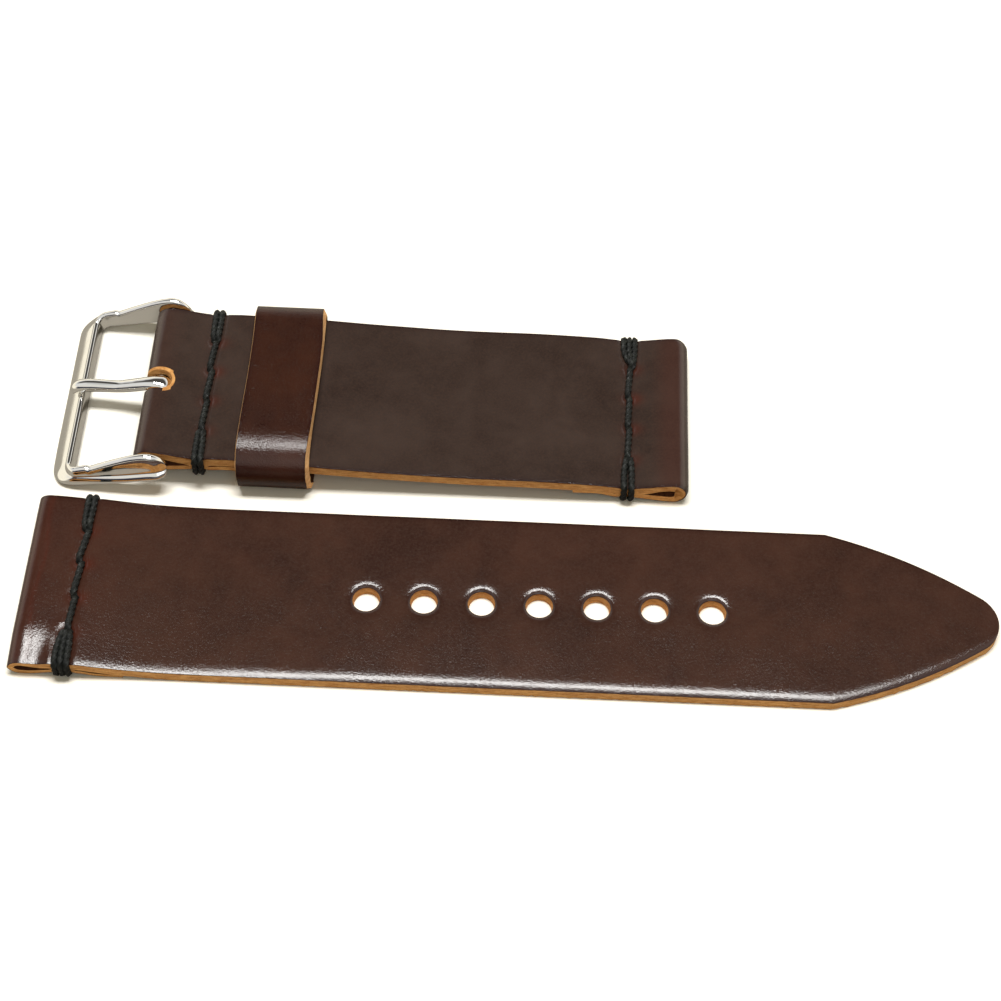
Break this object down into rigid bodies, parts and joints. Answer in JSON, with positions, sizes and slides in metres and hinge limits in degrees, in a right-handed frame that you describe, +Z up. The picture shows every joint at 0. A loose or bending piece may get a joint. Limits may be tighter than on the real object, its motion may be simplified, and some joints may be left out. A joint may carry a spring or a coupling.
{
  "type": "watch strap",
  "caption": "Leather watch strap in halves: the short half has a tang buckle on a spring bar and a sliding keeper, the long half a pointed tail with adjustment holes.",
  "frame": {"origin": "on the table, in the middle of the space that both halves take up together", "axes": "+X along the strap from the folds at the left to the tail's tip, +Y from the long half to the short half, +Z up from the table"},
  "size_m": [0.12, 0.0556, 0.0068],
  "materials": {
    "strap_leather": "smooth waxed shell leather, dark burgundy brown, with raw tan cut edges",
    "keeper_leather": "smooth waxed shell leather, dark burgundy brown, with raw tan cut edges",
    "waxed_thread": "braided and waxed, near black",
    "polished_steel": "mirror polished",
    "spring_bar_steel": "turned satin",
    "spring_wire": "drawn wire"
  },
  "bodies": {
    "short_half": {"short_strap": "strap_leather", "buckle_end_stitch": "waxed_thread", "short_lug_stitch": "waxed_thread"},
    "buckle": {"buckle_frame": "polished_steel", "spring_bar_tube": "spring_bar_steel", "spring_bar_spring": "spring_wire"},
    "tongue": {"tongue": "polished_steel"},
    "pin_near": {"spring_bar_pin_near": "spring_bar_steel"},
    "pin_far": {"spring_bar_pin_far": "spring_bar_steel"},
    "keeper": {"keeper": "keeper_leather", "keeper_stitch": "waxed_thread"},
    "long_half": {"long_strap": "strap_leather", "long_lug_stitch": "waxed_thread"}
  },
  "joints": [
    {"name": "buckle_swing", "type": "hinge", "parent": "short_half", "child": "buckle", "pos_m": [-0.047, 0.01365, 0.004], "axis": [0, 1, 0], "range_deg": [-75, 20]},
    {"name": "tongue_swing", "type": "hinge", "parent": "buckle", "child": "tongue", "pos_m": [-0.047, 0.01365, 0.004], "axis": [0, 1, 0], "range_deg": [0, 70]},
    {"name": "pin_near_press", "type": "slide", "parent": "buckle", "child": "pin_near", "axis": [0, 1, 0], "range_m": [0, 0.00095], "stiffness_N_per_m": 300, "springref_m": -0.002, "deforming": ["spring_bar_spring"]},
    {"name": "pin_far_press", "type": "slide", "parent": "buckle", "child": "pin_far", "axis": [0, -1, 0], "range_m": [0, 0.00095], "stiffness_N_per_m": 300, "springref_m": -0.002, "deforming": ["spring_bar_spring"]},
    {"name": "keeper_slide", "type": "slide", "parent": "short_half", "child": "keeper", "axis": [1, 0, 0], "range_m": [-0.0038, 0.0363]},
    {"name": "tail_lift", "type": "slide", "parent": "short_half", "child": "long_half", "axis": [0, 0, 1], "range_m": [0, 0.05]}
  ]
}
